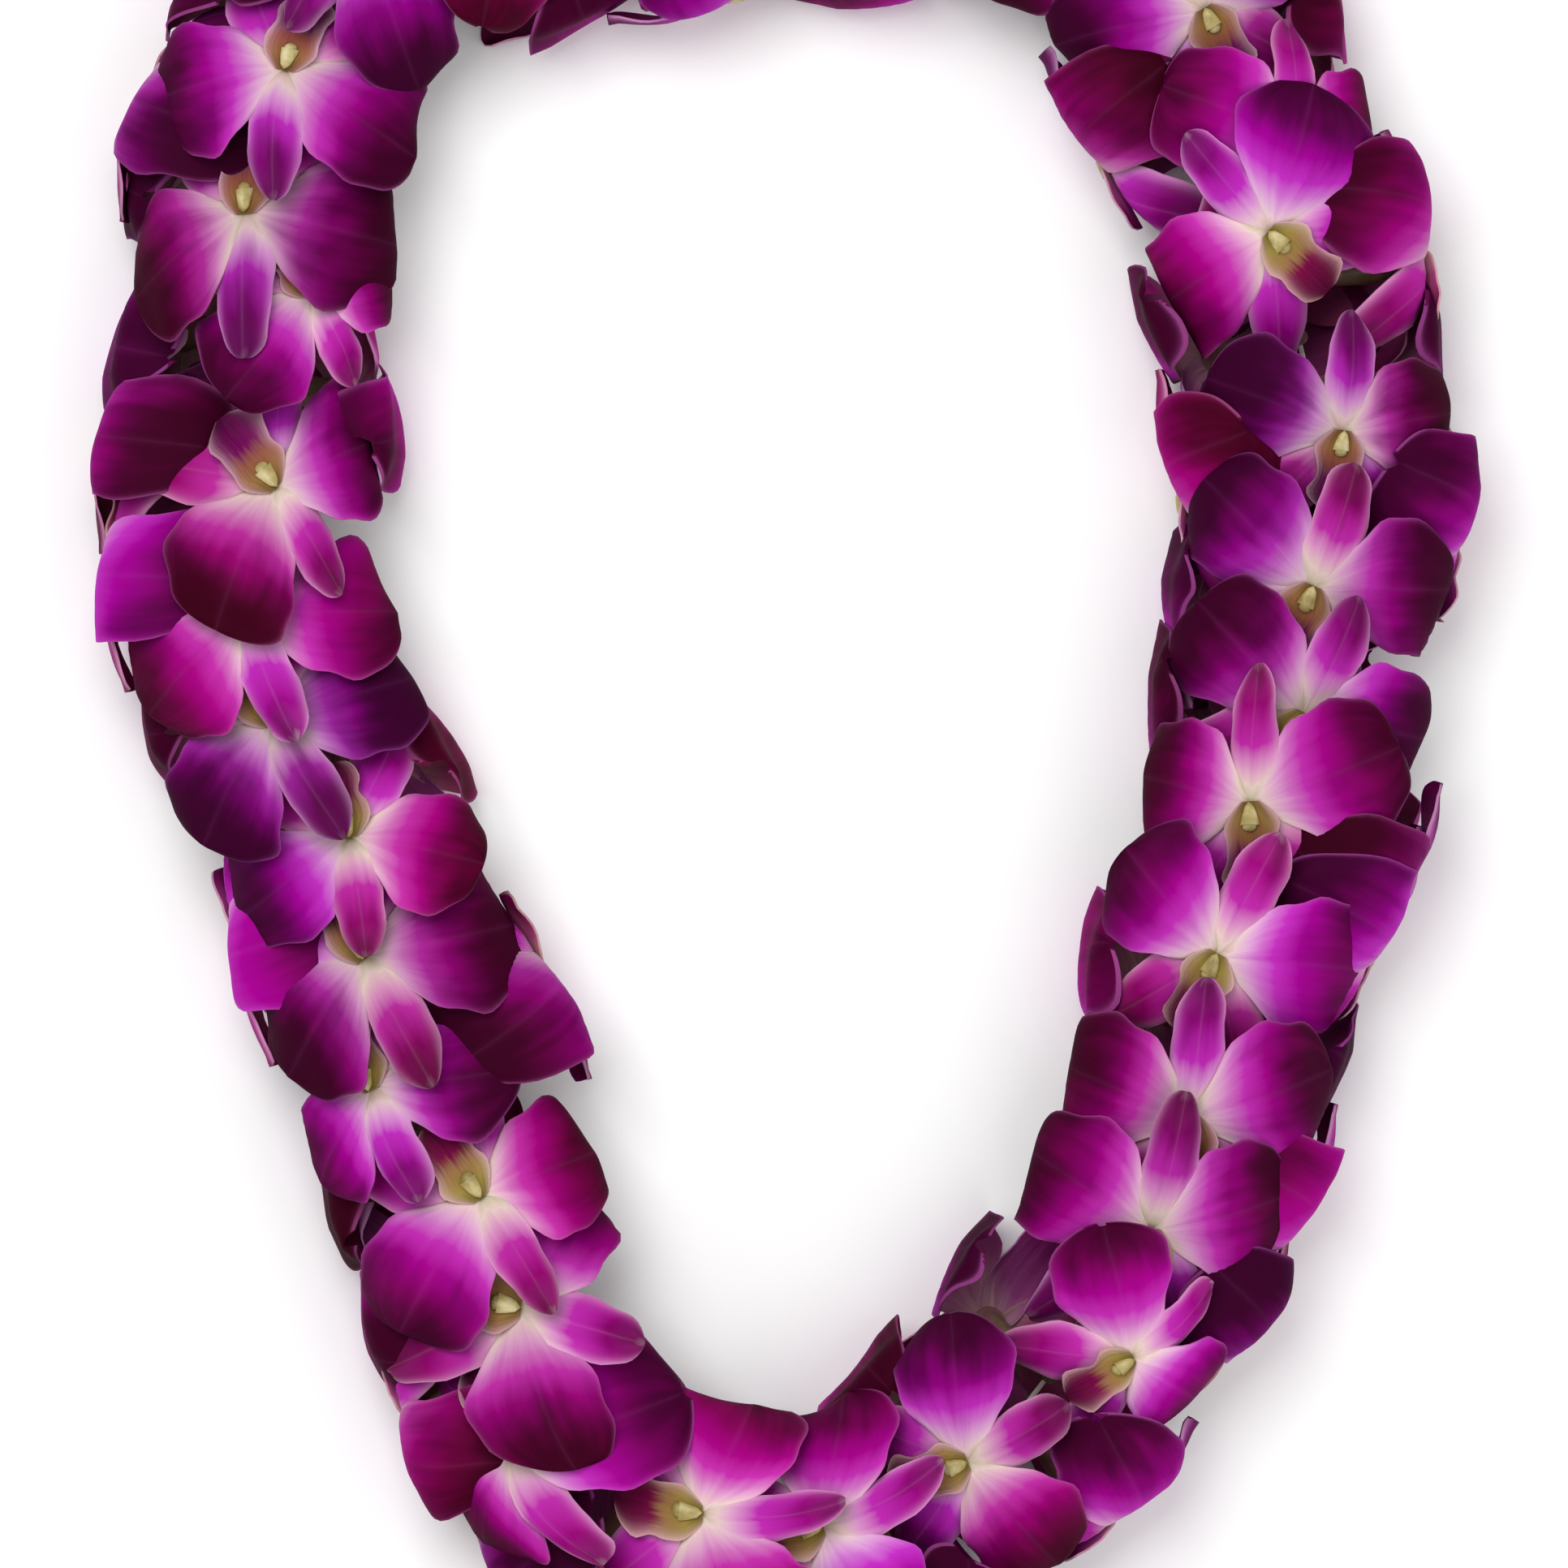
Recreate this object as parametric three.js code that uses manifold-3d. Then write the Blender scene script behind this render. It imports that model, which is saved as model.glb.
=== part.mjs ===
// A fresh flower lei: dendrobium orchid blooms strung on a thread that is knotted into a closed loop.
// The loop lies flat, with a row of blooms facing up and the rest round its sides. Millimetres, +Z up,
// +Y along the loop. Every bloom is a star of three sepals and two petals with a lip and a column, and
// its neck runs down to a foot on the thread. A bloom that faces up is one solid with the side blooms
// that follow it.
import * as THREE from "three";
import { mergeVertices } from "three/addons/utils/BufferGeometryUtils.js";
import Module from "manifold-3d";

const wasm = await Module();
wasm.setup();

// The middle line of the lei, counter-clockwise seen from above, from the knot at the far end.
const ROUTE = [
  [8, 188.6], [-21.9, 186.7], [-53.9, 181.6], [-83, 169], [-102, 151], [-110.9, 131], [-114, 101],
  [-118.3, 65.1], [-118.5, 29.1], [-109.2, -6.4], [-94, -38.4], [-83.2, -69], [-72.5, -101],
  [-61.9, -131], [-49.9, -159.3], [-29.9, -178.4], [-3, -187.5], [27.5, -180.9], [50.1, -161],
  [67.5, -137.7], [82.3, -109.7], [92.5, -79.1], [101.4, -46.7], [110.2, -16.7], [117.2, 15.1],
  [119.2, 47.3], [115.2, 79.5], [107.1, 107.8], [98.5, 134], [87.2, 159.2], [63.2, 180],
];
const ROUTE_STEP = 2;
const ROUTE_SMOOTHING = 60;
const ROUTE_DIVISIONS = 3000;

// Blooms that face up: the throat's place on the plan, the way the dorsal sepal points in degrees, and
// how large the bloom is.
const FACING_UP = [
  [-109.6, 139.8, -102, 1.05], [-118.6, 107.5, -85, 1.14], [-104.6, 90.3, -58, 0.9],
  [-112.3, 47.9, -51, 1.13], [-118.4, 18.8, -68, 1.14], [-112.8, -3.8, -56, 1.14],
  [-95.7, -29.8, -76, 1.01], [-92.2, -56.6, -58, 1.14], [-90.5, -85.2, -63, 0.93],
  [-67, -108.9, -54, 1.14], [-59, -132.2, -11, 1.14], [-60.7, -164.8, -55, 1.14],
  [-19.5, -178.2, -5, 1.14], [7.7, -181.6, 13, 1.14], [39.3, -168.1, 21, 1.02],
  [75.9, -144.6, 36, 0.93], [80.5, -116.9, 77, 1.1], [88.8, -92.6, 88, 1.1],
  [95.2, -55.9, 62, 1.14], [102.3, -23.6, 91, 1.09], [114.4, -2.5, 62, 1.03],
  [116.4, 24.9, 66, 1.02], [122.9, 58.2, 84, 0.98], [107.1, 102.8, 137, 1.08],
  [111.3, 124.4, 86, 0.96],
];
const FAR_END_BLOOMS = 7;
const FAR_END_AROUND = 12.9;
const FAR_END_SPIN = 0.72;

// Side blooms: their places round the section, and how far they stray from them.
const BLOOM_SPACING = 12.4;
const TIGHT_BEND = 0.2;
const TURNED_SPIN = 0.25;
const SIDE_PLACES = [41, 58, 44, 61];
const SIDE_AROUND = 4;
const SIDE_SPIN = 0.5;
const SEEDS = { farAround: 97, farSpin: 44, sideAround: 17, sideSpin: 92, scale: 200 };

// The layer that a bloom lies in, where the throat is, and how it rises towards the dorsal sepal.
const LAYER_HALF_WIDTH = 29;
const LAYER_TOP = 17;
const LAYER_UNDER = 15;
const WIDTH_RISE = 0.28;
const TOP_RISE = 0.34;
const UNDER_RISE = 0.28;
const SECTION_POWER = 2.5;
const SECTION_STEPS = 720;
const PLACING_STEPS = 6;
const THREAD_HEIGHT = 17.8;

// One bloom.
const PETAL = { length: 36, width: 28.5, rows: [[0.34, 0.78], [0.68, 1], [0.95, 0.52]] };
const DORSAL_SEPAL = { length: 28, width: 14, rows: [[0.5, 1]], pointed: true };
const SIDE_SEPAL = { length: 27, width: 13.5, rows: [[0.5, 1]], pointed: true };
const LIP = { length: 17, width: 13, rows: [[0.78, 1]], pointed: true };
const PETAL_ANGLE = 70;
const SIDE_SEPAL_ANGLE = 140;
const BLADE_THICKNESS = 0.75;
const HUB_RADIUS = 4.6;
const LIP_ROOT = { half: 0.9, behind: 0.6 };
const LIP_LIFT = 1;
const LIP_RISE = 0.5;
const COLUMN_HEIGHT = 3;
const NECK_RADIUS = 2;
const FOOT_DEPTH = 2;
const SCALE_SPREAD = 0.1;

// The feet, the thread and its knot.
const FOOT_RADIUS = 4;
const THREAD_RADIUS = 0.6;
const CLEARANCE = 0.3;
const FOOT_SIDES = 4;
const THREAD_SIDES = 6;
const BORE_OVERRUN = 1;
const KNOT_LENGTH = 7;
const KNOT_RADIUS = 2.6;
const KNOT_ROWS = [[-1, 0.5], [-0.5, 1], [0.5, 1], [1, 0.5]];
const KNOT_SIDES = 6;
const TAIL = { inward: 2.7, apart: 2.25, height: 9, sides: 4 };

const petalMaterial = new THREE.MeshStandardMaterial({ color: 0x9a0f9c, roughness: 0.55, metalness: 0 });
const threadMaterial = new THREE.MeshStandardMaterial({ color: 0xe6e0cc, roughness: 0.8, metalness: 0 });

// A number from 0 to 1 that is always the same for the same seed.
function chance(seed) {
  const wide = Math.sin(seed * 12.9898 + 4.137) * 43758.5453;
  return wide - Math.floor(wide);
}

// The middle line as evenly laid points, with the length and the turning up to each of them.
function layRoute() {
  const guide = new THREE.CatmullRomCurve3(
    ROUTE.map(([x, y]) => new THREE.Vector3(x, y, 0)),
    true,
    "catmullrom",
    0.5,
  );
  guide.arcLengthDivisions = ROUTE_DIVISIONS;
  const count = Math.round(guide.getLength() / ROUTE_STEP);
  let points = guide.getSpacedPoints(count).slice(0, count);
  for (let pass = 0; pass < ROUTE_SMOOTHING; pass += 1) {
    points = points.map((point, i) => {
      const before = points[(i + count - 1) % count];
      const after = points[(i + 1) % count];
      return point.clone().multiplyScalar(2).add(before).add(after).multiplyScalar(0.25);
    });
  }
  const table = [{ point: points[0], length: 0, turning: 0 }];
  for (let i = 1; i <= count; i += 1) {
    const last = table[i - 1];
    const point = points[i % count];
    table.push({ point, length: last.length + point.distanceTo(last.point), turning: 0 });
  }
  const headingAfter = (i) => {
    const start = points[(i + count) % count];
    const end = points[(i + 1) % count];
    return Math.atan2(end.y - start.y, end.x - start.x);
  };
  let previous = headingAfter(-1);
  let heading = previous;
  for (let i = 0; i <= count; i += 1) {
    const next = headingAfter(i);
    const bend = Math.atan2(Math.sin(next - previous), Math.cos(next - previous));
    table[i].turning = heading + bend / 2;
    heading += bend;
    previous = next;
  }
  return table;
}

const route = layRoute();
const loopLength = route.at(-1).length;

// Where the middle line is after a length, and which way it runs there.
function onRoute(length) {
  const laps = Math.floor(length / loopLength);
  const within = length - laps * loopLength;
  let low = 0;
  let high = route.length - 1;
  while (high - low > 1) {
    const middle = (low + high) >> 1;
    if (route[middle].length <= within) low = middle;
    else high = middle;
  }
  const share = (within - route[low].length) / (route[high].length - route[low].length);
  const turning = THREE.MathUtils.lerp(route[low].turning, route[high].turning, share);
  const point = route[low].point.clone().lerp(route[high].point, share);
  point.z = THREAD_HEIGHT;
  return {
    point,
    turning: turning + laps * 2 * Math.PI,
    along: new THREE.Vector3(Math.cos(turning), Math.sin(turning), 0),
    outward: new THREE.Vector3(Math.sin(turning), -Math.cos(turning), 0),
  };
}

// Half of the lei's cross-section from its top to its underside, as shares of its half width and height.
function laySection() {
  const table = [];
  let length = 0;
  for (let i = 0; i <= SECTION_STEPS; i += 1) {
    const angle = (Math.PI * i) / SECTION_STEPS;
    const side = Math.abs(Math.sin(angle)) ** (2 / SECTION_POWER);
    const up = Math.sign(Math.cos(angle)) * Math.abs(Math.cos(angle)) ** (2 / SECTION_POWER);
    const last = table.at(-1);
    if (last) {
      const rise = (up - last.up) * (up > 0 ? LAYER_TOP : LAYER_UNDER);
      length += Math.hypot((side - last.side) * LAYER_HALF_WIDTH, rise);
    }
    table.push({ side, up, length });
  }
  return table;
}

const section = laySection();
const halfRound = section.at(-1).length;

// The shares of half width and height at an arc length from the top, outward being positive.
function onSection(arc) {
  const wrapped = ((arc + halfRound) % (2 * halfRound) + 2 * halfRound) % (2 * halfRound) - halfRound;
  const length = Math.abs(wrapped);
  let i = 1;
  while (i < section.length - 1 && section[i].length < length) i += 1;
  const start = section[i - 1];
  const end = section[i];
  const share = (length - start.length) / (end.length - start.length);
  return {
    side: Math.sign(wrapped) * THREE.MathUtils.lerp(start.side, end.side, share),
    up: THREE.MathUtils.lerp(start.up, end.up, share),
  };
}

// A bloom's point in space. across and ahead are its flat place with the dorsal sepal ahead, and lift is
// how far it stands out of the bloom's layer. A layer only rises along the route, so no two blooms cross.
function place(bloom, across, ahead, lift) {
  const turn = bloom.spin;
  const aside = bloom.scale * (across * Math.cos(turn) - ahead * Math.sin(turn));
  const forward = bloom.scale * (across * Math.sin(turn) + ahead * Math.cos(turn));
  const halfWidth = LAYER_HALF_WIDTH + WIDTH_RISE * forward + lift;
  const share = onSection(bloom.around + (aside * LAYER_HALF_WIDTH) / halfWidth);
  const start = onRoute(bloom.length);
  const reach = LAYER_HALF_WIDTH * share.side;
  let length = bloom.length + forward;
  for (let i = 0; i < PLACING_STEPS; i += 1) {
    const here = onRoute(length);
    const covered = length - bloom.length + reach * (here.turning - start.turning);
    const bend = (onRoute(length + 1).turning - onRoute(length - 1).turning) / 2;
    length -= (covered - forward) / (1 + reach * bend);
  }
  const here = onRoute(length);
  const half = share.up > 0 ? LAYER_TOP + TOP_RISE * forward : LAYER_UNDER + UNDER_RISE * forward;
  const point = here.point.clone().addScaledVector(here.outward, halfWidth * share.side);
  point.z += (half + lift) * share.up;
  return point;
}

function solidOf(vertices, triangles) {
  const geometry = new THREE.BufferGeometry();
  const coordinates = vertices.flatMap((v) => [v.x, v.y, v.z]);
  geometry.setAttribute("position", new THREE.Float32BufferAttribute(coordinates, 3));
  geometry.setIndex(triangles.flat());
  const merged = mergeVertices(geometry, 1e-4);
  const mesh = new wasm.Mesh({
    numProp: 3,
    vertProperties: merged.attributes.position.array,
    triVerts: new Uint32Array(merged.index.array),
  });
  return new wasm.Manifold(mesh);
}

// A thin blade from flat points and triangles: both of its faces are split alike, with a rim between.
// Where it meets another form, joined holds triangles that close its edge there and aren't made.
// A blade that would sink into the ground lies on it instead.
function blade(bloom, points, triangles, joined = []) {
  const outer = [];
  const inner = [];
  for (const [across, ahead, lift] of points) {
    const top = place(bloom, across, ahead, lift + BLADE_THICKNESS / 2);
    const under = place(bloom, across, ahead, lift - BLADE_THICKNESS / 2);
    const sunk = Math.max(0, -top.z);
    top.z += sunk;
    under.z += sunk;
    outer.push(top);
    inner.push(under);
  }
  const count = points.length;
  const faces = triangles.flatMap(([a, b, c]) => [[a, b, c], [count + a, count + c, count + b]]);
  const open = new Map();
  for (const [a, b, c] of [...triangles, ...joined]) {
    for (const [start, end] of [[a, b], [b, c], [c, a]]) {
      if (open.has(end + "," + start)) open.delete(end + "," + start);
      else open.set(start + "," + end, [start, end]);
    }
  }
  for (const [start, end] of open.values()) {
    faces.push([start, count + start, count + end], [start, count + end, end]);
  }
  return { vertices: [...outer, ...inner], faces, count };
}

// Adds one tepal to a flat outline: rows of two points from the root edge outward, and a tip if it has one.
function addTepal(points, triangles, form, angle, rootLeft, rootRight) {
  const turn = THREE.MathUtils.degToRad(angle);
  let left = rootLeft;
  let right = rootRight;
  const add = (sideways, outward) => {
    const across = sideways * Math.cos(turn) + outward * Math.sin(turn);
    const ahead = -sideways * Math.sin(turn) + outward * Math.cos(turn);
    return points.push([across, ahead, 0]) - 1;
  };
  for (const [share, fullness] of form.rows) {
    const half = (form.width / 2) * fullness;
    const nextLeft = add(-half, share * form.length);
    const nextRight = add(half, share * form.length);
    triangles.push([left, right, nextRight], [left, nextRight, nextLeft]);
    left = nextLeft;
    right = nextRight;
  }
  if (form.pointed) triangles.push([left, right, add(0, form.length)]);
}

// Three sepals and two petals round the throat, with the column over it and the stem under it: from the
// throat the chin and the neck run down into the foot that the thread pierces.
function flower(bloom) {
  const angles = [0, PETAL_ANGLE, SIDE_SEPAL_ANGLE, -SIDE_SEPAL_ANGLE, -PETAL_ANGLE];
  const forms = [DORSAL_SEPAL, PETAL, SIDE_SEPAL, SIDE_SEPAL, PETAL];
  const between = (PETAL_ANGLE + SIDE_SEPAL_ANGLE) / 2;
  const corners = [-PETAL_ANGLE / 2, PETAL_ANGLE / 2, between, 180, -between];
  const sides = corners.length;
  const points = corners.map((angle) => {
    const turn = THREE.MathUtils.degToRad(angle);
    return [HUB_RADIUS * Math.sin(turn), HUB_RADIUS * Math.cos(turn), 0];
  });
  const triangles = [];
  angles.forEach((angle, i) => {
    addTepal(points, triangles, forms[i], angle, i, (i + 1) % sides);
  });
  const { vertices, faces, count } = blade(bloom, points, triangles, [[0, 2, 1], [0, 3, 2], [0, 4, 3]]);
  const column = vertices.push(place(bloom, 0, 0, COLUMN_HEIGHT)) - 1;
  const throat = place(bloom, 0, 0, 0);
  const thread = onRoute(bloom.footLength).point;
  const foot = thread.clone().lerp(throat, FOOT_DEPTH / thread.distanceTo(throat));
  const hub = vertices.slice(count, count + sides);
  const neck = hub.map((corner) => corner.clone().sub(throat).setLength(NECK_RADIUS).add(foot));
  const end = vertices.push(...neck) - sides;
  for (let i = 0; i < sides; i += 1) {
    const next = (i + 1) % sides;
    faces.push([column, next, i]);
    faces.push([count + i, count + next, end + next], [count + i, end + next, end + i]);
  }
  for (let i = 1; i + 1 < sides; i += 1) faces.push([end, end + i, end + i + 1]);
  return solidOf(vertices, faces);
}

// The lip stands over the gap between the side sepals, with its root in the column.
function lip(bloom) {
  const points = [[LIP_ROOT.half, -LIP_ROOT.behind, 0], [-LIP_ROOT.half, -LIP_ROOT.behind, 0]];
  const triangles = [];
  addTepal(points, triangles, LIP, 180, 0, 1);
  for (const point of points) point[2] = LIP_LIFT - (LIP_RISE * point[1]) / LIP.length;
  const { vertices, faces } = blade(bloom, points, triangles);
  return solidOf(vertices, faces);
}

// A solid through rings of corner points, closed at both ends.
function loft(rings) {
  const sides = rings[0].length;
  const faces = [];
  for (let k = 0; k + 1 < rings.length; k += 1) {
    for (let i = 0; i < sides; i += 1) {
      const a = k * sides + i;
      const b = k * sides + ((i + 1) % sides);
      faces.push([a, b, b + sides], [a, b + sides, a + sides]);
    }
  }
  const end = (rings.length - 1) * sides;
  for (let i = 1; i + 1 < sides; i += 1) {
    faces.push([0, i + 1, i], [end, end + i, end + i + 1]);
  }
  return solidOf(rings.flat(), faces);
}

function ring(centre, sideways, up, radius, sides) {
  return Array.from({ length: sides }, (_, i) => {
    const angle = (2 * Math.PI * (i + 0.5)) / sides;
    return centre
      .clone()
      .addScaledVector(sideways, radius * Math.cos(angle))
      .addScaledVector(up, radius * Math.sin(angle));
  });
}

// A tube round the thread's line between two lengths, with a ring at each of them.
function tube(lengths, radius, sides) {
  const up = new THREE.Vector3(0, 0, 1);
  return loft(
    lengths.map((length) => {
      const here = onRoute(length);
      return ring(here.point, here.outward.clone().negate(), up, radius, sides);
    }),
  );
}

// The length of the middle line that lies nearest to a place on the plan.
function lengthNear(x, y) {
  const target = new THREE.Vector3(x, y, 0);
  const nearest = route.reduce((best, entry) =>
    entry.point.distanceTo(target) < best.point.distanceTo(target) ? entry : best,
  );
  return nearest.length % loopLength;
}

// All blooms in their order along the thread.
function layBlooms() {
  const fronts = FACING_UP.map(([x, y, heading, size]) => {
    const length = lengthNear(x, y);
    const here = onRoute(length);
    const offset = new THREE.Vector3(x, y, 0).sub(here.point);
    const turn = THREE.MathUtils.degToRad(heading) - here.turning;
    const spin = Math.atan2(Math.sin(turn), Math.cos(turn));
    return { facesUp: true, length, around: offset.dot(here.outward), spin, size };
  });
  const first = fronts[0].length;
  const last = fronts.at(-1).length - loopLength;
  for (let i = 1; i <= FAR_END_BLOOMS; i += 1) {
    const length = last + ((first - last) * i) / (FAR_END_BLOOMS + 1);
    fronts.push({
      facesUp: true,
      length: (length + loopLength) % loopLength,
      around: FAR_END_AROUND * (chance(i + SEEDS.farAround) - 0.5),
      spin: FAR_END_SPIN * (chance(i + SEEDS.farSpin) - 0.5),
    });
  }
  fronts.sort((a, b) => a.length - b.length);
  const gaps = fronts.map((front, i) => {
    const next = fronts[(i + 1) % fronts.length];
    return (next.length - front.length + loopLength) % loopLength;
  });
  const blooms = [];
  let sides = 0;
  fronts.forEach((front, i) => {
    blooms.push(front);
    const count = Math.max(0, Math.round(gaps[i] / BLOOM_SPACING) - 1);
    const bend = onRoute(front.length + gaps[i]).turning - onRoute(front.length).turning;
    for (let k = 1; k <= count; k += 1) {
      const tight = bend > TIGHT_BEND;
      const nextSpin = k === count ? fronts[(i + 1) % fronts.length].spin : 0;
      let direction = tight || sides % 2 === 0 ? 1 : -1;
      if (Math.abs(nextSpin) > TURNED_SPIN) direction = Math.sign(nextSpin);
      const row = tight ? k - 1 : sides >> 1;
      const stray = SIDE_AROUND * (chance(sides + SEEDS.sideAround) - 0.5);
      blooms.push({
        facesUp: false,
        length: (front.length + (gaps[i] * k) / (count + 1)) % loopLength,
        around: direction * (SIDE_PLACES[row % SIDE_PLACES.length] + stray),
        spin: SIDE_SPIN * (chance(sides + SEEDS.sideSpin) - 0.5),
      });
      sides += 1;
    }
  });
  blooms.sort((a, b) => a.length - b.length);
  blooms.forEach((bloom, i) => {
    bloom.scale = (bloom.size ?? 1) * (1 + SCALE_SPREAD * (chance(i + SEEDS.scale) - 0.5));
  });
  return blooms;
}

const blooms = layBlooms();
const ends = blooms.map((bloom, i) => {
  const next = blooms[i + 1];
  return next ? (bloom.length + next.length) / 2 : loopLength - KNOT_LENGTH / 2;
});
ends.unshift(KNOT_LENGTH / 2);
blooms.forEach((bloom, i) => {
  bloom.footLength = (ends[i] + ends[i + 1]) / 2;
});

// A bloom that faces up and the side blooms behind it share a foot.
const firsts = blooms.flatMap((bloom, i) => (i === 0 || bloom.facesUp ? [i] : []));
const groups = firsts.map((first, i) => {
  const next = firsts[i + 1] ?? blooms.length;
  const [start, end] = [ends[first], ends[next]];
  return { start, middle: (start + end) / 2, end, members: blooms.slice(first, next) };
});

function meshOf(solid, name, material) {
  const made = solid.getMesh();
  const geometry = new THREE.BufferGeometry();
  const positions = new Float32Array(made.numVert * 3);
  for (let i = 0; i < made.numVert; i += 1) {
    positions.set(made.vertProperties.subarray(i * made.numProp, i * made.numProp + 3), i * 3);
  }
  geometry.setAttribute("position", new THREE.BufferAttribute(positions, 3));
  geometry.setIndex(new THREE.BufferAttribute(made.triVerts, 1));
  geometry.computeVertexNormals();
  const mesh = new THREE.Mesh(geometry, material);
  mesh.name = name;
  return mesh;
}

// The blooms of one group on one foot, which is bored for the thread.
function bloomGroup({ start, middle, end, members }) {
  const from = start + CLEARANCE / 2;
  const to = end - CLEARANCE / 2;
  let solid = tube([from, middle, to], FOOT_RADIUS, FOOT_SIDES);
  for (const bloom of members) solid = solid.add(flower(bloom)).add(lip(bloom));
  const boreRadius = (THREAD_RADIUS + CLEARANCE) / Math.cos(Math.PI / FOOT_SIDES);
  const bore = tube([from - BORE_OVERRUN, middle, to + BORE_OVERRUN], boreRadius, FOOT_SIDES);
  return solid.subtract(bore);
}

// The thread runs through every foot, and both of its ends go into the knot.
function thread() {
  const lengths = groups.flatMap(({ start, middle }) => [start, middle]);
  lengths[0] -= CLEARANCE;
  lengths.push(groups.at(-1).end + CLEARANCE);
  return tube(lengths, THREAD_RADIUS, THREAD_SIDES);
}

// The knot that closes the loop, with its two cut tails.
function knot() {
  const half = KNOT_LENGTH / 2 - CLEARANCE * 2;
  const up = new THREE.Vector3(0, 0, 1);
  const body = loft(
    KNOT_ROWS.map(([share, fullness]) => {
      const here = onRoute(share * half);
      return ring(here.point, here.outward.clone().negate(), up, fullness * KNOT_RADIUS, KNOT_SIDES);
    }),
  );
  const here = onRoute(0);
  return [-1, 1].reduce((solid, side) => {
    const tip = here.point.clone().addScaledVector(here.outward, -TAIL.inward);
    tip.addScaledVector(here.along, side * TAIL.apart);
    tip.z += TAIL.height;
    const axis = tip.clone().sub(here.point).normalize();
    const across = axis.clone().cross(here.along).normalize();
    const sideways = across.clone().cross(axis);
    const rings = [here.point, tip].map((centre) => ring(centre, sideways, across, THREAD_RADIUS, TAIL.sides));
    return solid.add(loft(rings));
  }, body);
}

const lei = new THREE.Group();
groups.forEach((group, i) => {
  lei.add(meshOf(bloomGroup(group), "blooms_" + String(i + 1).padStart(2, "0"), petalMaterial));
});
lei.add(meshOf(thread(), "thread", threadMaterial));
lei.add(meshOf(knot(), "knot", threadMaterial));

// The origin is under the middle of the loop's box.
const box = new THREE.Box3().setFromObject(lei);
const middle = box.getCenter(new THREE.Vector3());
lei.position.set(-middle.x, -middle.y, -box.min.z);

export default lei;
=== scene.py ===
from math import atan2, cos, floor, hypot, pi, radians, sin

import bmesh
import bpy
import numpy as np
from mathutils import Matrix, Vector


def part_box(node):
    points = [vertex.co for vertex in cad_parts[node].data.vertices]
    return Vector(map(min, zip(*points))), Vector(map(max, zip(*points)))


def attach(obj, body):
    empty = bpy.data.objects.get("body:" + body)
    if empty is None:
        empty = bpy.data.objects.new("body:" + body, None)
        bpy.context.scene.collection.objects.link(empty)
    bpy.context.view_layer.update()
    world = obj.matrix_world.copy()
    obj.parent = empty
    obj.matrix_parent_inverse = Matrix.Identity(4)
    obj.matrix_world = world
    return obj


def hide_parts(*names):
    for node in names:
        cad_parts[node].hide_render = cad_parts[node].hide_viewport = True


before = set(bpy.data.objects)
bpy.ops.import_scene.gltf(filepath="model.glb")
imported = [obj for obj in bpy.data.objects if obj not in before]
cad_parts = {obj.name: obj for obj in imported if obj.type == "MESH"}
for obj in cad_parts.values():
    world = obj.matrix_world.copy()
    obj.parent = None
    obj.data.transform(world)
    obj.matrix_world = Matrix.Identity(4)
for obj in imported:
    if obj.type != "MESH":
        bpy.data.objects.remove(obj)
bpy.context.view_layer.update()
print("frame loaded,", len(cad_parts), "nodes")

mm = 0.001  # the lei is laid out in millimetres and scaled down to metres as it is built

# the strand: its middle line on the table, counter-clockwise from the knot
strand = {
    "route": [
        (8, 188.6), (-21.9, 186.7), (-53.9, 181.6), (-83, 169), (-102, 151), (-110.9, 131),
        (-114, 101), (-118.3, 65.1), (-118.5, 29.1), (-109.2, -6.4), (-94, -38.4), (-83.2, -69),
        (-72.5, -101), (-61.9, -131), (-49.9, -159.3), (-29.9, -178.4), (-3, -187.5),
        (27.5, -180.9), (50.1, -161), (67.5, -137.7), (82.3, -109.7), (92.5, -79.1), (101.4, -46.7),
        (110.2, -16.7), (117.2, 15.1), (119.2, 47.3), (115.2, 79.5), (107.1, 107.8), (98.5, 134),
        (87.2, 159.2), (63.2, 180),
    ],
    "divisions": 3000,
    "step": 2,
    "smoothing": 60,
    "threadHeight": 17.8,
}
dice = {"stretch": 12.9898, "offset": 4.137, "size": 43758.5453}


def chance(seed):
    # a number from 0 to 1, always the same for the same seed
    wide = sin(seed * dice["stretch"] + dice["offset"]) * dice["size"]
    return wide - floor(wide)


def stray(seed):
    # the same from -0.5 to 0.5
    return chance(seed) - 0.5


def wrapAngle(angle):
    return atan2(sin(angle), cos(angle))


def curvePoint(guide, t):
    # uniform closed spline through the guide points, t in laps
    count = len(guide)
    place = t * count
    low = np.floor(place).astype(int)
    w = (place - low)[:, None]
    p0, p1, p2, p3 = (guide[(low + k) % count] for k in (-1, 0, 1, 2))
    t0, t1 = 0.5 * (p2 - p0), 0.5 * (p3 - p1)
    return p1 + t0 * w + (-3 * p1 + 3 * p2 - 2 * t0 - t1) * w ** 2 + (2 * p1 - 2 * p2 + t0 + t1) * w ** 3


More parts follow.
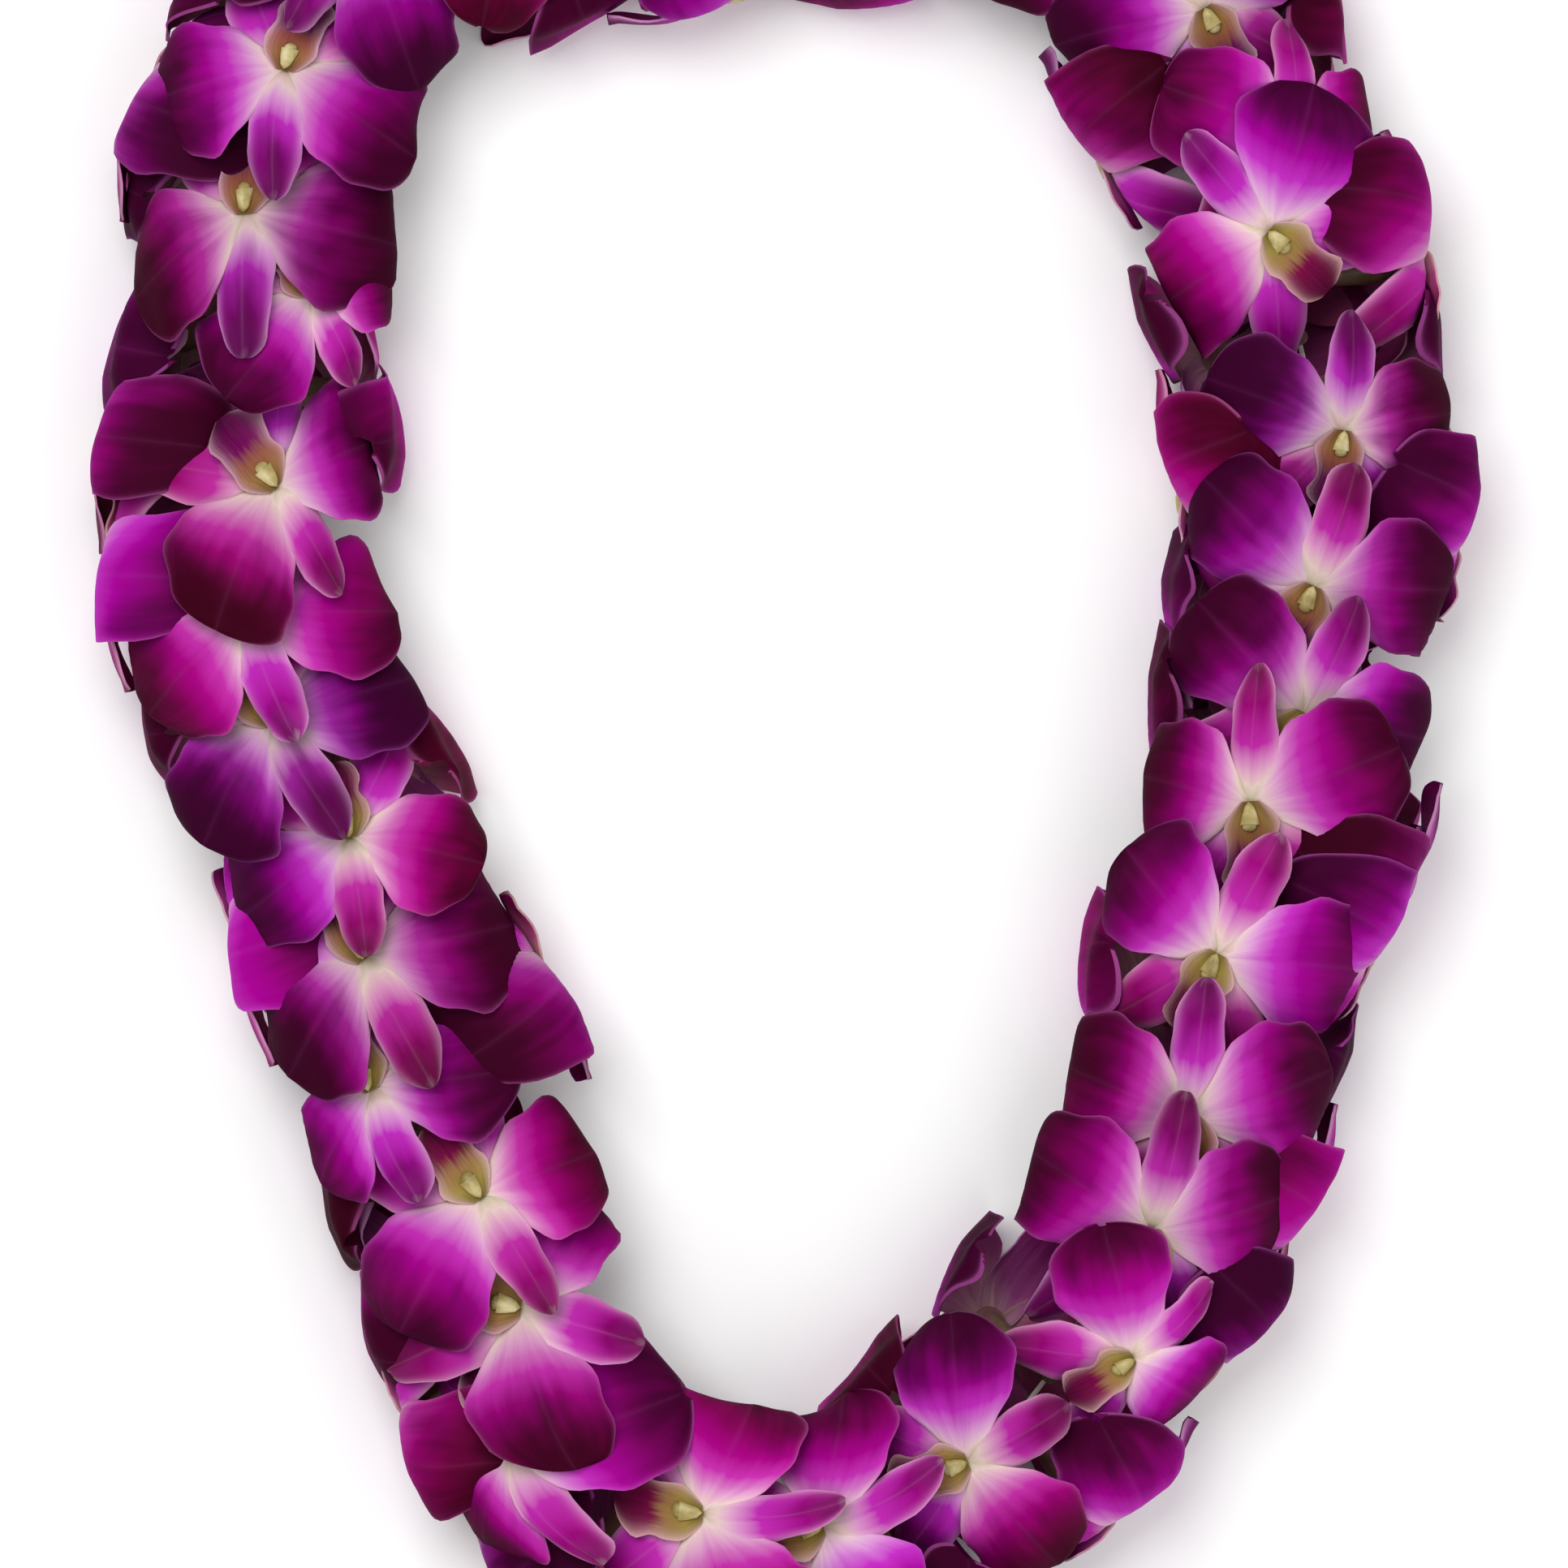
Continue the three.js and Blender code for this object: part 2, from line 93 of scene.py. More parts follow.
def layStrand():
    # evenly spaced points on the middle line, smoothed, with the length and the heading at each
    guide = np.array(strand["route"], float)
    t = np.linspace(0, 1, strand["divisions"] + 1)
    fine = curvePoint(guide, t)
    covered = np.concatenate([[0], np.cumsum(np.linalg.norm(np.diff(fine, axis=0), axis=1))])
    count = int(floor(covered[-1] / strand["step"] + 0.5))
    points = curvePoint(guide, np.interp(np.arange(count) / count * covered[-1], covered, t))
    for _ in range(strand["smoothing"]):
        points = (2 * points + np.roll(points, 1, axis=0) + np.roll(points, -1, axis=0)) / 4
    steps = np.roll(points, -1, axis=0) - points
    lengths = np.concatenate([[0], np.cumsum(np.linalg.norm(steps, axis=1))])
    headings = np.arctan2(steps[:, 1], steps[:, 0])
    turning, heading = [], headings[-1]
    for i in range(count + 1):
        bend = wrapAngle(headings[i % count] - headings[i - 1])
        turning.append(heading + bend / 2)
        heading += bend
    return points, lengths, np.array(turning)


routePoints, routeLengths, routeTurning = layStrand()
loopLength = routeLengths[-1]

# one lap before the loop and two after it, so that a petal can reach past the knot
laps = (-1, 0, 1, 2)
lapLengths = np.concatenate([routeLengths[:-1] + lap * loopLength for lap in laps])
lapTurning = np.concatenate([routeTurning[:-1] + lap * 2 * pi for lap in laps])
lapPoints = np.concatenate([routePoints] * len(laps))


def turningAt(length):
    return np.interp(length, lapLengths, lapTurning)


def strandAt(length):
    # middle line and outward direction after a length
    x = np.interp(length, lapLengths, lapPoints[:, 0])
    y = np.interp(length, lapLengths, lapPoints[:, 1])
    turn = turningAt(length)
    z = np.full_like(np.asarray(x, float), strand["threadHeight"])
    return np.stack([x, y, z], -1), np.stack([np.sin(turn), -np.cos(turn), np.zeros_like(turn)], -1)


# the layer that a bloom lies in, round the strand's section
layer = {
    "halfWidth": 29, "top": 17, "under": 15,
    "widthRise": 0.28, "topRise": 0.34, "underRise": 0.28,
    "power": 2.9, "sectionSteps": 720, "placingSteps": 6,
    "shoulder": 2.4, "calmFrom": 12, "calmShare": 0.36, "shownReach": 31.5,
}


def laySection():
    # half a rounded box from its top to its underside, as shares, with the length reached along it
    angle = np.linspace(0, pi, layer["sectionSteps"] + 1)
    side = np.abs(np.sin(angle)) ** (2 / layer["power"])
    up = np.sign(np.cos(angle)) * np.abs(np.cos(angle)) ** (2 / layer["power"])
    rise = np.diff(up) * np.where(up[1:] > 0, layer["top"], layer["under"])
    lengths = np.concatenate([[0], np.cumsum(np.hypot(np.diff(side) * layer["halfWidth"], rise))])
    return side, up, lengths


sectionSide, sectionUp, sectionLengths = laySection()
halfRound = sectionLengths[-1]


def onSection(arc):
    # shares of half width and height at an arc length from the top, outward being positive
    wrapped = (arc + halfRound) % (2 * halfRound) - halfRound
    side = np.interp(np.abs(wrapped), sectionLengths, sectionSide)
    return np.sign(wrapped) * side, np.interp(np.abs(wrapped), sectionLengths, sectionUp)


def placeOnLayer(bloom, across, ahead, lift):
    # across and ahead are flat places on the bloom, lift stands out of its layer
    across, ahead, lift = (np.asarray(v, float) for v in (across, ahead, lift))
    c, s = cos(bloom["spin"]), sin(bloom["spin"])
    aside = bloom["scale"] * (across * c - ahead * s)
    aside = aside * np.where(aside < 0, *bloom["shares"])
    forward = bloom["scale"] * (across * s + ahead * c)
    halfWidth = layer["halfWidth"] + layer["widthRise"] * forward + lift
    arc = bloom["around"] + aside * layer["halfWidth"] / halfWidth
    side, up = onSection(arc)
    # how far along the strand that is, measured where the petal lies, inside or outside the bend
    reach = layer["halfWidth"] * side
    start = turningAt(bloom["length"])
    length = bloom["length"] + forward
    for _ in range(layer["placingSteps"]):
        covered = length - bloom["length"] + reach * (turningAt(length) - start)
        bend = (turningAt(length + 1) - turningAt(length - 1)) / 2
        length = length - (covered - forward) / (1 + reach * bend)
    point, outward = strandAt(length)
    # soft petals stand out over the shoulder, and their far ends lie closer at the sides
    far = np.maximum(0, forward - layer["calmFrom"])
    halfWidth = halfWidth - layer["widthRise"] * (1 - layer["calmShare"]) * far
    halfWidth = halfWidth + layer["shoulder"] * np.sin(pi * np.clip(up, 0, 1)) ** 2
    over = layer["top"] + layer["topRise"] * forward
    under = layer["under"] + layer["underRise"] * forward
    point = point + outward * (halfWidth * side)[..., None]
    point[..., 2] += (np.where(up > 0, over, under) + lift) * up
    return point


# where every bloom sits on the strand
bloomPlan = {
    "facingUp": [  # throat on the table, heading of the dorsal sepal in degrees, and size
        (-109.6, 139.8, -102, 1.05), (-118.6, 107.5, -85, 1.14), (-104.6, 90.3, -58, 0.9),
        (-112.3, 47.9, -51, 1.13), (-118.4, 18.8, -68, 1.14), (-112.8, -3.8, -56, 1.14),
        (-95.7, -29.8, -76, 1.01), (-92.2, -56.6, -58, 1.14), (-90.5, -85.2, -63, 0.93),
        (-67, -108.9, -54, 1.14), (-59, -132.2, -11, 1.14), (-60.7, -164.8, -55, 1.14),
        (-19.5, -178.2, -5, 1.14), (7.7, -181.6, 13, 1.14), (39.3, -168.1, 21, 1.02),
        (75.9, -144.6, 36, 0.93), (80.5, -116.9, 77, 1.1), (88.8, -92.6, 88, 1.1),
        (95.2, -55.9, 62, 1.14), (102.3, -23.6, 91, 1.09), (114.4, -2.5, 62, 1.03),
        (116.4, 24.9, 66, 1.02), (122.9, 58.2, 84, 0.98), (107.1, 102.8, 137, 1.08),
        (111.3, 124.4, 86, 0.96),
    ],
    "farEnd": 7, "farAround": 12.9, "farSpin": 0.72,
    "spacing": 12.4, "tightBend": 0.2, "turnedSpin": 0.25,
    "sidePlaces": (41, 58, 44, 61), "sideAround": 4, "sideSpin": 0.5,
    "scaleSpread": 0.1, "knotLength": 7,
    "seeds": {"farAround": 97, "farSpin": 44, "sideAround": 17, "sideSpin": 92, "scale": 200},
}


def layFronts():
    # the blooms that face up: those in the plan, then an even row of them over the far end
    plan, seeds = bloomPlan, bloomPlan["seeds"]
    fronts = []
    for x, y, heading, size in plan["facingUp"]:
        near = int(np.argmin(np.hypot(routePoints[:, 0] - x, routePoints[:, 1] - y)))
        turn = routeTurning[near]
        offset = (x - routePoints[near, 0]) * sin(turn) - (y - routePoints[near, 1]) * cos(turn)
        fronts.append({
            "facesUp": True, "length": routeLengths[near], "around": offset,
            "spin": wrapAngle(radians(heading) - turn), "size": size,
        })
    first, last = fronts[0]["length"], fronts[-1]["length"] - loopLength
    for i in range(1, plan["farEnd"] + 1):
        length = last + (first - last) * i / (plan["farEnd"] + 1)
        fronts.append({
            "facesUp": True, "length": (length + loopLength) % loopLength,
            "around": plan["farAround"] * stray(i + seeds["farAround"]),
            "spin": plan["farSpin"] * stray(i + seeds["farSpin"]), "size": 1,
        })
    fronts.sort(key=lambda front: front["length"])
    return fronts


def layBlooms():
    # side blooms fill the gaps between the blooms that face up, on both sides in turn
    plan, seeds = bloomPlan, bloomPlan["seeds"]
    fronts = layFronts()
    blooms, sides = [], 0
    for i, front in enumerate(fronts):
        following = fronts[(i + 1) % len(fronts)]
        gap = (following["length"] - front["length"] + loopLength) % loopLength
        blooms.append(front)
        count = max(0, floor(gap / plan["spacing"] + 0.5) - 1)
        tight = turningAt(front["length"] + gap) - turningAt(front["length"]) > plan["tightBend"]
        for k in range(1, count + 1):
            nextSpin = following["spin"] if k == count else 0
            direction = 1 if tight or sides % 2 == 0 else -1
            if abs(nextSpin) > plan["turnedSpin"]:
                direction = 1 if nextSpin > 0 else -1
            row = k - 1 if tight else sides // 2
            places = plan["sidePlaces"]
            aside = places[row % len(places)] + plan["sideAround"] * stray(sides + seeds["sideAround"])
            blooms.append({
                "facesUp": False, "length": (front["length"] + gap * k / (count + 1)) % loopLength,
                "around": direction * aside,
                "spin": plan["sideSpin"] * stray(sides + seeds["sideSpin"]), "size": 1,
            })
            sides += 1
    blooms.sort(key=lambda bloom: bloom["length"])
    halfKnot = plan["knotLength"] / 2
    middles = [(a["length"] + b["length"]) / 2 for a, b in zip(blooms, blooms[1:])]
    ends = [halfKnot] + middles + [loopLength - halfKnot]
    for i, bloom in enumerate(blooms):
        bloom["index"] = i
        bloom["scale"] = bloom["size"] * (1 + plan["scaleSpread"] * stray(i + seeds["scale"]))
        bloom["footLength"] = (ends[i] + ends[i + 1]) / 2
    return blooms


blooms = layBlooms()
groups = []
for bloom in blooms:  # a bloom that faces up, and the side blooms that follow it
    if bloom["facesUp"] or not groups:
        groups.append([])
    groups[-1].append(bloom)

# the origin of the CAD part, read back from where its thread lies
threadLow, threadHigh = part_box("thread")
origin = np.array([
    (threadLow.x + threadHigh.x) / 2 / mm - (routePoints[:, 0].min() + routePoints[:, 0].max()) / 2,
    (threadLow.y + threadHigh.y) / 2 / mm - (routePoints[:, 1].min() + routePoints[:, 1].max()) / 2,
    (threadLow.z + threadHigh.z) / 2 / mm - strand["threadHeight"],
])
print("strand laid:", round(float(loopLength), 1), "mm,", len(blooms), "blooms in", len(groups), "groups")


# helpers for materials
def newMaterial(name, constants):
    # the constants are the same all over, so they sit on the shader's own sockets
    material = bpy.data.materials.new(name)
    material.use_nodes = True
    shader = material.node_tree.nodes["Principled BSDF"]
    for socket, value in constants.items():
        shader.inputs[socket].default_value = value
    return material, material.node_tree, shader


def addNode(tree, kind, x, y, **settings):
    node = tree.nodes.new(kind)
    node.location = (x, y)
    for name, value in settings.items():
        setattr(node, name, value)
    return node


def mathNode(tree, operation, x, y, first, second=None):
    node = addNode(tree, "ShaderNodeMath", x, y, operation=operation)
    for socket, value in zip(node.inputs, (first, second)):
        if isinstance(value, (int, float)):
            socket.default_value = value
        elif value is not None:
            tree.links.new(value, socket)
    return node.outputs[0]


def combineNode(tree, x, y, values):
    node = addNode(tree, "ShaderNodeCombineXYZ", x, y)
    for socket, value in zip(node.inputs, values):
        tree.links.new(value, socket)
    return node.outputs[0]


def noiseNode(tree, x, y, vector, scale, detail):
    node = addNode(tree, "ShaderNodeTexNoise", x, y)
    node.inputs["Scale"].default_value = scale
    node.inputs["Detail"].default_value = detail
    tree.links.new(vector, node.inputs["Vector"])
    return node.outputs["Fac"]


def objectPlace(tree, x, y):
    return addNode(tree, "ShaderNodeTexCoord", x, y).outputs["Object"]


def rampNode(tree, x, y, factor, stops):
    node = addNode(tree, "ShaderNodeValToRGB", x, y)
    elements = node.color_ramp.elements
    while len(elements) < len(stops):
        elements.new(0.5)
    for element, (place, color) in zip(elements, stops):
        element.position = place
        element.color = (*color, 1)
    tree.links.new(factor, node.inputs["Fac"])
    return node.outputs["Color"]


def mixNode(tree, x, y, factor, first, second):
    # blends a colour towards a fixed one
    node = addNode(tree, "ShaderNodeMix", x, y, data_type="RGBA")
    tree.links.new(factor, node.inputs["Factor"])
    tree.links.new(first, node.inputs[6])
    node.inputs[7].default_value = (*second, 1)
    return node.outputs[2]


def bumpShader(tree, shader, x, y, height, strength, distance):
    node = addNode(tree, "ShaderNodeBump", x, y)
    node.inputs["Strength"].default_value = strength
    node.inputs["Distance"].default_value = distance
    tree.links.new(height, node.inputs["Height"])
    tree.links.new(node.outputs["Normal"], shader.inputs["Normal"])


# the pattern of petals, sepals and lips
veining = {
    "inputs": ("Streaks", "Waviness", "Relief", "Sides", "Fringe"),
    "outputs": ("Reach", "Edge", "Deep", "Midline", "Tone", "Height"),
    "lengthwise": 1.6, "detail": 3, "toneShift": 37,
    "patchScale": 2.2, "patchDetail": 2, "patchToneShift": 91,
    "patchShare": 0.7, "streakShare": 0.3, "toneShare": -0.5,
    "grainScale": 1400, "grainDetail": 1, "grainHeight": 0.12,
    "foldPower": 14, "foldDepth": 0.3,
}


def makeTepalPattern():
    # veins that fan out from the base, read from the tepal's own UV map
    group = bpy.data.node_groups.new("tepalPattern", "ShaderNodeTree")
    for name in veining["inputs"]:
        group.interface.new_socket(name=name, in_out="INPUT", socket_type="NodeSocketFloat")
    for name in veining["outputs"]:
        group.interface.new_socket(name=name, in_out="OUTPUT", socket_type="NodeSocketFloat")
    given = addNode(group, "NodeGroupInput", -1100, 0).outputs
    result = addNode(group, "NodeGroupOutput", 700, 0).inputs
    uv = addNode(group, "ShaderNodeUVMap", -1100, 250, uv_map="UVMap")
    split = addNode(group, "ShaderNodeSeparateXYZ", -900, 250)
    group.links.new(uv.outputs["UV"], split.inputs[0])
    across, along = split.outputs["X"], split.outputs["Y"]
    tone = addNode(group, "ShaderNodeAttribute", -1100, -250, attribute_name="tone").outputs["Fac"]
    group.links.new(tone, result["Tone"])
    # long thin noise: many across the tepal, few along it
    stretched = combineNode(group, -500, 250, (
        mathNode(group, "MULTIPLY", -700, 350, across, given["Streaks"]),
        mathNode(group, "MULTIPLY", -700, 200, along, veining["lengthwise"]),
        mathNode(group, "MULTIPLY", -700, 50, tone, veining["toneShift"]),
    ))
    veins = noiseNode(group, -300, 250, stretched, 1, veining["detail"])
    streak = mathNode(group, "SUBTRACT", -100, 250, veins, 0.5)
    centred = mathNode(group, "SUBTRACT", -500, 50, across, 0.5)
    edge = mathNode(group, "MULTIPLY", -100, 50, mathNode(group, "ABSOLUTE", -300, 50, centred), 2)
    group.links.new(edge, result["Edge"])
    # the pale colour of the base runs further out along both margins
    squared = mathNode(group, "MULTIPLY", 0, 450, edge, edge)
    fringe = mathNode(group, "MULTIPLY", 100, 100, squared, given["Fringe"])
    reach = mathNode(group, "SUBTRACT", 200, 200, along, fringe)
    shifted = mathNode(group, "MULTIPLY", 100, 250, streak, given["Waviness"])
    group.links.new(mathNode(group, "ADD", 300, 250, reach, shifted), result["Reach"])
    # where the deep colour lies: the outer part of the tepal, in soft patches; dark pigment there, and
    # partly painted shade of the tepal's outer end
    spread = combineNode(group, -500, 600, (
        across, along, mathNode(group, "MULTIPLY", -700, 600, tone, veining["patchToneShift"]),
    ))
    patches = noiseNode(group, -300, 600, spread, veining["patchScale"], veining["patchDetail"])
    patch = mathNode(group, "SUBTRACT", -200, 600, patches, 0.5)
    patch = mathNode(group, "MULTIPLY", -100, 600, patch, veining["patchShare"])
    atEdge = mathNode(group, "MULTIPLY", 100, 450, squared, given["Sides"])
    deep = mathNode(group, "ADD", 200, 600, along, patch)
    deep = mathNode(group, "ADD", 300, 600, deep, atEdge)
    byStreak = mathNode(group, "MULTIPLY", 300, 450, streak, veining["streakShare"])
    deep = mathNode(group, "ADD", 400, 600, deep, byStreak)
    byTone = mathNode(group, "SUBTRACT", 200, 750, tone, 0.5)
    byTone = mathNode(group, "MULTIPLY", 300, 750, byTone, veining["toneShare"])
    group.links.new(mathNode(group, "ADD", 500, 600, deep, byTone), result["Deep"])
    # relief: the veins, a fold along the middle, and a fine velvet grain
    fold = mathNode(group, "SUBTRACT", -100, -100, 1, edge)
    fold = mathNode(group, "POWER", 100, -100, fold, veining["foldPower"])
    group.links.new(mathNode(group, "MULTIPLY", 300, -100, fold, fold), result["Midline"])
    place = objectPlace(group, -700, -350)
    grain = noiseNode(group, -500, -350, place, veining["grainScale"], veining["grainDetail"])
    grain = mathNode(group, "MULTIPLY", -100, -300, grain, veining["grainHeight"])
    height = mathNode(group, "ADD", 100, -300, grain, streak)
    sunk = mathNode(group, "MULTIPLY", 200, -100, fold, veining["foldDepth"])
    height = mathNode(group, "SUBTRACT", 300, -200, height, sunk)
    group.links.new(mathNode(group, "MULTIPLY", 500, -200, height, given["Relief"]), result["Height"])
    return group


tepalPattern = makeTepalPattern()
tepalSkin = {
    "subsurfaceRadius": (1, 0.35, 0.8), "subsurfaceScale": 0.0015, "bumpDistance": 0.0006,
    "hueDraws": 9, "hueSwing": 0.06,
}


def makeTepalMaterial(name, look):
    material, tree, shader = newMaterial(name, {
        "Roughness": look["roughness"], "Specular IOR Level": look["specular"],
        "Subsurface Weight": look["subsurface"], "Subsurface Radius": tepalSkin["subsurfaceRadius"],
        "Subsurface Scale": tepalSkin["subsurfaceScale"],
    })
    pattern = addNode(tree, "ShaderNodeGroup", -1000, 0, node_tree=tepalPattern)
    for socket in veining["inputs"]:
        pattern.inputs[socket].default_value = look[socket.lower()]
    given = pattern.outputs
    # colour from the tepal's base to its tip; on the petals this ramp also holds a painted highlight and
    # partly painted shade
    color = rampNode(tree, -700, 100, given["Reach"], look["along"])
    # the deep colour: dark pigment in soft patches, and partly painted shade towards the tepal's outer end
    if "deep" in look:
        start, full, strength = look["deepRange"]
        span = addNode(tree, "ShaderNodeMapRange", -750, 350, interpolation_type="SMOOTHSTEP")
        for socket, value in (("From Min", start), ("From Max", full), ("To Min", 0), ("To Max", strength)):
            span.inputs[socket].default_value = value
        tree.links.new(given["Deep"], span.inputs["Value"])
        color = mixNode(tree, -550, 250, span.outputs["Result"], color, look["deep"])
    if "rim" in look:
        mask = mathNode(tree, "POWER", -650, -150, given["Edge"], look["rimPower"])
        mask = mathNode(tree, "MULTIPLY", -500, -150, mask, look["rimStrength"])
        color = mixNode(tree, -400, 100, mask, color, look["rim"])
    if "midline" in look:
        line = mathNode(tree, "MULTIPLY", -500, -50, given["Midline"], look["midline"])
        color = mixNode(tree, -300, 200, line, color, look["rim"])
    # every bloom has its own depth of colour, and every tepal its own hue
    tint = addNode(tree, "ShaderNodeHueSaturation", -200, 100)
    tree.links.new(color, tint.inputs["Color"])
    swing = mathNode(tree, "SUBTRACT", -600, -350, given["Tone"], 0.5)
    swing = mathNode(tree, "MULTIPLY", -500, -350, swing, look["toneValue"])
    tree.links.new(mathNode(tree, "ADD", -400, -350, swing, 1), tint.inputs["Value"])
    drawn = mathNode(tree, "MULTIPLY", -800, -500, given["Tone"], tepalSkin["hueDraws"])
    drawn = mathNode(tree, "FRACT", -700, -500, drawn)
    hue = mathNode(tree, "SUBTRACT", -600, -500, drawn, 0.5)
    hue = mathNode(tree, "MULTIPLY", -500, -500, hue, tepalSkin["hueSwing"])
    tree.links.new(mathNode(tree, "ADD", -400, -500, hue, 0.5), tint.inputs["Hue"])
    tree.links.new(tint.outputs["Color"], shader.inputs["Base Color"])
    bumpShader(tree, shader, -200, -200, given["Height"], look["bump"], tepalSkin["bumpDistance"])
    return material


# the petal's colour from base to tip is pigment with painted light in it: the bright magenta stops about a
# quarter to a third of the way out are a painted highlight, and the darkening towards the outer end is
# partly painted shade of the drooping tip
petalFace = makeTepalMaterial("petalFace", {
    "along": [
        (0.0, (0.50, 0.40, 0.28)), (0.08, (0.67, 0.49, 0.49)), (0.18, (0.59, 0.29, 0.50)),
        (0.26, (0.50, 0.13, 0.43)), (0.36, (0.42, 0.022, 0.35)), (0.52, (0.30, 0.0, 0.205)),
        (0.74, (0.19, 0.0, 0.095)), (1.0, (0.12, 0.0, 0.05)),
    ],
    "deep": (0.034, 0.0, 0.012), "deepRange": (0.32, 0.94, 0.94), "sides": 0.0, "fringe": 0.11,
    "streaks": 9, "waviness": 0.13, "relief": 1, "bump": 0.35, "roughness": 0.65, "specular": 0.03,
    "rim": (0.42, 0.08, 0.32), "rimPower": 36, "rimStrength": 0.5, "midline": 0.05,
    "subsurface": 0.05, "toneValue": 0.5,
})
sepalFace = makeTepalMaterial("sepalFace", {
    "along": [
        (0.0, (0.48, 0.42, 0.26)), (0.12, (0.68, 0.50, 0.48)), (0.25, (0.58, 0.24, 0.48)),
        (0.40, (0.41, 0.018, 0.335)), (0.70, (0.26, 0.0, 0.165)), (0.93, (0.29, 0.02, 0.19)),
        (1.0, (0.60, 0.34, 0.46)),
    ],
    "deep": (0.075, 0.0, 0.032), "deepRange": (0.36, 1.0, 0.85), "sides": -0.25, "fringe": 0.12,
    "streaks": 6, "waviness": 0.15, "relief": 1, "bump": 0.35, "roughness": 0.6, "specular": 0.04,
    "rim": (0.64, 0.30, 0.52), "rimPower": 8, "rimStrength": 0.7, "midline": 0.07,
    "subsurface": 0.05, "toneValue": 0.4,
})
tepalBack = makeTepalMaterial("tepalBack", {
    "along": [
        (0.0, (0.50, 0.38, 0.24)), (0.15, (0.52, 0.26, 0.32)), (0.40, (0.34, 0.06, 0.20)),
        (0.8, (0.17, 0.008, 0.085)), (1.0, (0.11, 0.0, 0.05)),
    ],
    "sides": 0, "fringe": 0, "streaks": 9, "waviness": 0.3, "relief": 1.3, "bump": 0.4,
    "roughness": 0.6, "specular": 0.08, "subsurface": 0.06, "toneValue": 0.3,
})
lipFace = makeTepalMaterial("lipFace", {
    "along": [
        (0.0, (0.16, 0.10, 0.02)), (0.16, (0.26, 0.15, 0.035)), (0.40, (0.26, 0.10, 0.05)),
        (0.58, (0.15, 0.0, 0.07)), (1.0, (0.06, 0.0, 0.028)),
    ],
    "sides": 0, "fringe": 0, "streaks": 16, "waviness": 0.35, "relief": 1.5, "bump": 0.5,
    "rim": (0.60, 0.34, 0.40), "rimPower": 5, "rimStrength": 0.85,
    "roughness": 0.6, "specular": 0.08, "subsurface": 0.06, "toneValue": 0.3,
})

flesh = {
    "subsurface": 0.2, "subsurfaceRadius": (1, 0.8, 0.4), "subsurfaceScale": 0.0015,
    "mottleDetail": 4, "bump": 0.3, "bumpDistance": 0.0004,
}


def makeFleshMaterial(name, look):
    # waxy plant flesh: column, throat and neck, mottled on Object coordinates
    material, tree, shader = newMaterial(name, {
        "Roughness": look["roughness"], "Subsurface Weight": flesh["subsurface"],
        "Subsurface Radius": flesh["subsurfaceRadius"], "Subsurface Scale": flesh["subsurfaceScale"],
    })
    place = objectPlace(tree, -1000, 0)
    mottle = noiseNode(tree, -800, 0, place, look["mottleScale"], flesh["mottleDetail"])
    tree.links.new(rampNode(tree, -500, 100, mottle, look["mottle"]), shader.inputs["Base Color"])
    bumpShader(tree, shader, -300, -200, mottle, flesh["bump"], flesh["bumpDistance"])
    return material


columnFlesh = makeFleshMaterial("columnFlesh", {
    "mottleScale": 260, "roughness": 0.4,
    "mottle": [(0.3, (0.26, 0.19, 0.05)), (0.5, (0.42, 0.34, 0.12)), (0.7, (0.62, 0.55, 0.30))],
})
neckFlesh = makeFleshMaterial("neckFlesh", {
    "mottleScale": 180, "roughness": 0.45,
    "mottle": [(0.3, (0.13, 0.09, 0.03)), (0.5, (0.24, 0.13, 0.09)), (0.7, (0.26, 0.10, 0.12))],
})
print("materials made")


# one bloom, modelled flat in millimetres: across = x, ahead = y, lift = z
tepalThickness = 0.5
petal = {
    "name": "petal", "kind": "petal", "face": petalFace, "length": 33, "width": 27.5, "columns": 10,
    "rows": [  # share of the length, and fullness there
        (0.02, 0.17), (0.09, 0.26), (0.17, 0.42), (0.26, 0.62), (0.36, 0.82), (0.47, 0.95), (0.58, 1.02),
        (0.69, 1.02), (0.79, 0.95), (0.87, 0.84), (0.93, 0.68), (0.97, 0.50), (0.992, 0.31), (1.0, 0.12),
    ],
}
dorsalSepal = {
    "name": "dorsalSepal", "kind": "sepal", "face": sepalFace, "length": 28, "width": 12.4, "columns": 6,
    "rows": [
        (0.02, 0.52), (0.12, 0.74), (0.26, 0.93), (0.42, 1.0), (0.60, 1.0), (0.76, 0.93),
        (0.88, 0.76), (0.96, 0.48), (1.0, 0.15),
    ],
}
sideSepal = {
    "name": "sideSepal", "kind": "sepal", "face": sepalFace, "length": 28, "width": 14.5, "columns": 6,
    "rows": [
        (0.02, 0.40), (0.12, 0.58), (0.26, 0.80), (0.42, 0.97), (0.58, 1.0), (0.73, 0.86),
        (0.86, 0.62), (0.95, 0.38), (1.0, 0.15),
    ],
}
lip = {
    "name": "lip", "kind": "lip", "face": lipFace, "length": 17, "width": 13.5, "columns": 8,
    "rows": [
        (-0.04, 0.36), (0.08, 0.70), (0.20, 0.94), (0.34, 0.92), (0.48, 0.74), (0.62, 0.80),
        (0.76, 0.96), (0.90, 0.84), (1.0, 0.34),
    ],
}
tepals = [  # part numbers 0 to 5: the form, and its angle from the dorsal sepal in degrees
    (dorsalSepal, 0), (petal, 70), (sideSepal, 140), (sideSepal, -140), (petal, -70), (lip, 180),
]
middlePart, neckPart = 6, 7


def deselectAll():
    if bpy.context.object and bpy.context.object.mode != "OBJECT":
        bpy.ops.object.mode_set(mode="OBJECT")
    bpy.ops.object.select_all(action="DESELECT")


def selectVerts(mesh, wanted):
    mesh.select_mode = {"VERT"}
    for vert in mesh.verts:
        vert.select = wanted(vert)
    mesh.select_flush(True)


